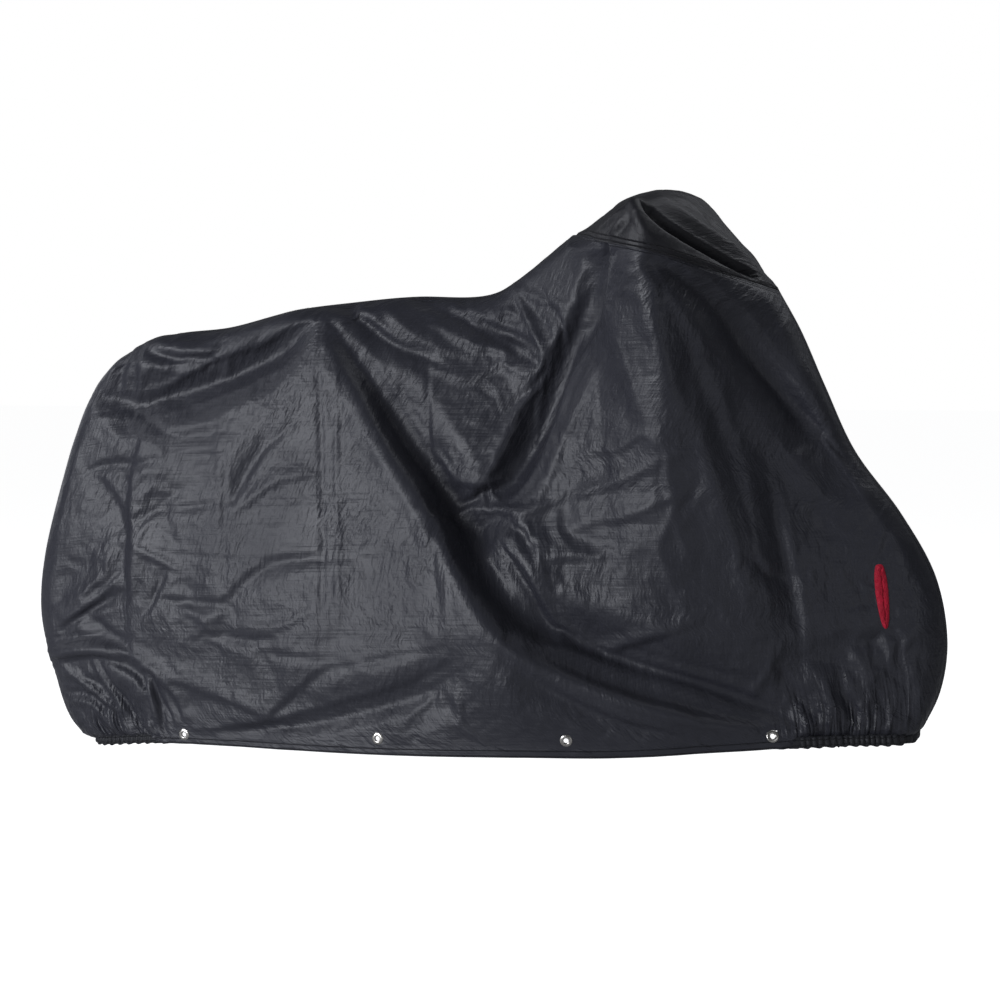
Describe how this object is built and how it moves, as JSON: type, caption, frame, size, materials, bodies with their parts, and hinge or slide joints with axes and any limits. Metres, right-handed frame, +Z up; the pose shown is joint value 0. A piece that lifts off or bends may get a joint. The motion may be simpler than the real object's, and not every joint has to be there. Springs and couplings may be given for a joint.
{
  "type": "bicycle cover",
  "caption": "Fitted cloth cover for one bicycle, hanging from the handlebar, with gathered elastic hems, eyelets along the hem and red bound lock slots.",
  "frame": {"origin": "the point just under the top of the cover, on its centre plane, where the handlebar stem carries it", "axes": "+X runs forward along the bicycle, +Y to its left and +Z up"},
  "size_m": [1.7715, 0.5676, 1.0712],
  "materials": {
    "coated_cloth": "black coated polyester taffeta with a soft sheen and fine wrinkles",
    "hem_cloth": "black coated polyester, folded and double stitched, gathered at the ends",
    "red_binding": "red woven tape",
    "nickel": "nickel-plated brass, satin"
  },
  "bodies": {
    "root": {"right_side_panel": "coated_cloth", "left_side_panel": "coated_cloth", "handlebar_cap": "coated_cloth", "right_hem_strip": "hem_cloth", "left_hem_strip": "hem_cloth", "rear_gathered_hem": "hem_cloth", "front_gathered_hem": "hem_cloth", "right_lock_slot_binding": "red_binding", "left_lock_slot_binding": "red_binding", "right_eyelet_1": "nickel", "right_eyelet_2": "nickel", "right_eyelet_3": "nickel", "right_eyelet_4": "nickel", "left_eyelet_1": "nickel", "left_eyelet_2": "nickel", "left_eyelet_3": "nickel", "left_eyelet_4": "nickel"}
  },
  "joints": []
}
